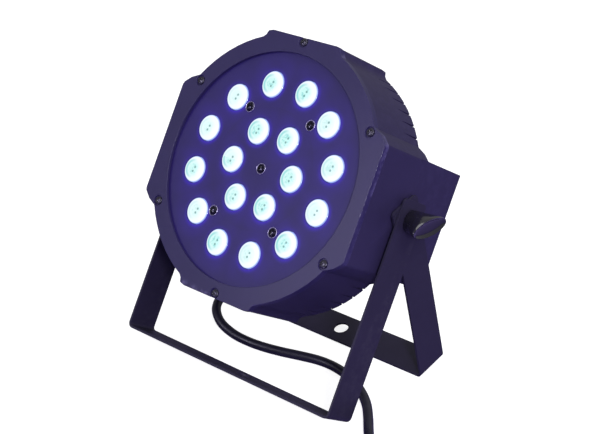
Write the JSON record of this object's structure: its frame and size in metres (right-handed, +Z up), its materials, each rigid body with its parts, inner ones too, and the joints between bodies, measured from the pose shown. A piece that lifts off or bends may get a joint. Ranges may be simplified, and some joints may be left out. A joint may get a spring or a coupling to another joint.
{
  "type": "par can light",
  "caption": "Round stage light with a glowing multi-lens face, tilting between the arms of a double folding floor bracket, with wing knobs, rear control panel, data sockets and mains lead.",
  "frame": {"origin": "on the floor, under the middle of the lamp without its lead", "axes": "+Z up, -Y towards the lit face, +X to the right of somebody facing the lamp; the tilt axis is along X"},
  "size_m": [0.3435, 0.3149, 0.2757],
  "materials": {
    "housing_paint": "fine-textured satin black-grey moulding",
    "face_paint": "smooth satin black moulding, lit violet by its lamps",
    "bracket_paint": "satin black powder coat on steel strip",
    "screw_steel": "black zinc",
    "lens_acrylic": "clear moulded lens over a lit diode, emissive cyan-white",
    "circuit_board": "green solder mask",
    "sink_aluminium": "plain extrusion",
    "display_glass": "dark red display window",
    "black_plastic": "moulded black",
    "knob_plastic": "glossy black moulding",
    "cord_rubber": "semi-gloss black sheath"
  },
  "bodies": {
    "front_stand": {"front_bracket": "bracket_paint", "power_cord": "cord_rubber", "cord_coil": "cord_rubber", "mains_plug": "cord_rubber"},
    "rear_stand": {"rear_bracket": "bracket_paint"},
    "head": {"front_bezel": "face_paint", "front_panel": "face_paint", "bezel_screw_01": "screw_steel", "bezel_screw_02": "screw_steel", "bezel_screw_03": "screw_steel", "bezel_screw_04": "screw_steel", "bezel_screw_05": "screw_steel", "bezel_screw_06": "screw_steel", "panel_screw_01": "screw_steel", "panel_screw_02": "screw_steel", "panel_screw_03": "screw_steel", "panel_screw_04": "screw_steel", "panel_screw_05": "screw_steel", "cover_screw_01": "screw_steel", "cover_screw_02": "screw_steel", "cover_screw_03": "screw_steel", "cover_screw_04": "screw_steel", "pivot_nut_right": "screw_steel", "pivot_nut_left": "screw_steel", "lens_01": "lens_acrylic", "lens_02": "lens_acrylic", "lens_03": "lens_acrylic", "lens_04": "lens_acrylic", "lens_05": "lens_acrylic", "lens_06": "lens_acrylic", "lens_07": "lens_acrylic", "lens_08": "lens_acrylic", "lens_09": "lens_acrylic", "lens_10": "lens_acrylic", "lens_11": "lens_acrylic", "lens_12": "lens_acrylic", "lens_13": "lens_acrylic", "lens_14": "lens_acrylic", "lens_15": "lens_acrylic", "lens_16": "lens_acrylic", "lens_17": "lens_acrylic", "lens_18": "lens_acrylic", "led_board": "circuit_board", "control_board": "circuit_board", "power_supply_board": "circuit_board", "heat_sink": "sink_aluminium", "housing_shell": "housing_paint", "rear_cover": "housing_paint", "display_module": "display_glass", "dmx_input_socket": "black_plastic", "dmx_output_socket": "black_plastic", "friction_washer_right": "black_plastic", "friction_washer_left": "black_plastic", "cable_gland": "cord_rubber"},
    "knob_right": {"wing_knob_right": "knob_plastic"},
    "knob_left": {"wing_knob_left": "knob_plastic"},
    "button_1": {"menu_button_1": "black_plastic"},
    "button_2": {"menu_button_2": "black_plastic"},
    "button_3": {"menu_button_3": "black_plastic"},
    "button_4": {"menu_button_4": "black_plastic"}
  },
  "joints": [
    {"name": "head_tilt", "type": "hinge", "parent": "front_stand", "child": "head", "pos_m": [0, 0.016, 0.15194], "axis": [1, 0, 0], "range_deg": [-90, 90], "deforming": ["power_cord"]},
    {"name": "rear_fold", "type": "hinge", "parent": "front_stand", "child": "rear_stand", "pos_m": [0, 0.016, 0.15194], "axis": [1, 0, 0], "range_deg": [-45, 135], "deforming": ["power_cord"]},
    {"name": "right_knob_turn", "type": "hinge", "parent": "head", "child": "knob_right", "pos_m": [0, 0.016, 0.15194], "axis": [1, 0, 0], "continuous": true},
    {"name": "left_knob_turn", "type": "hinge", "parent": "head", "child": "knob_left", "pos_m": [0, 0.016, 0.15194], "axis": [-1, 0, 0], "continuous": true},
    {"name": "button_1_press", "type": "slide", "parent": "head", "child": "button_1", "axis": [0, -0.866, 0.5], "range_m": [0, 0.0007], "stiffness_N_per_m": 300, "springref_m": -0.0006},
    {"name": "button_2_press", "type": "slide", "parent": "head", "child": "button_2", "axis": [0, -0.866, 0.5], "range_m": [0, 0.0007], "stiffness_N_per_m": 300, "springref_m": -0.0006},
    {"name": "button_3_press", "type": "slide", "parent": "head", "child": "button_3", "axis": [0, -0.866, 0.5], "range_m": [0, 0.0007], "stiffness_N_per_m": 300, "springref_m": -0.0006},
    {"name": "button_4_press", "type": "slide", "parent": "head", "child": "button_4", "axis": [0, -0.866, 0.5], "range_m": [0, 0.0007], "stiffness_N_per_m": 300, "springref_m": -0.0006}
  ]
}
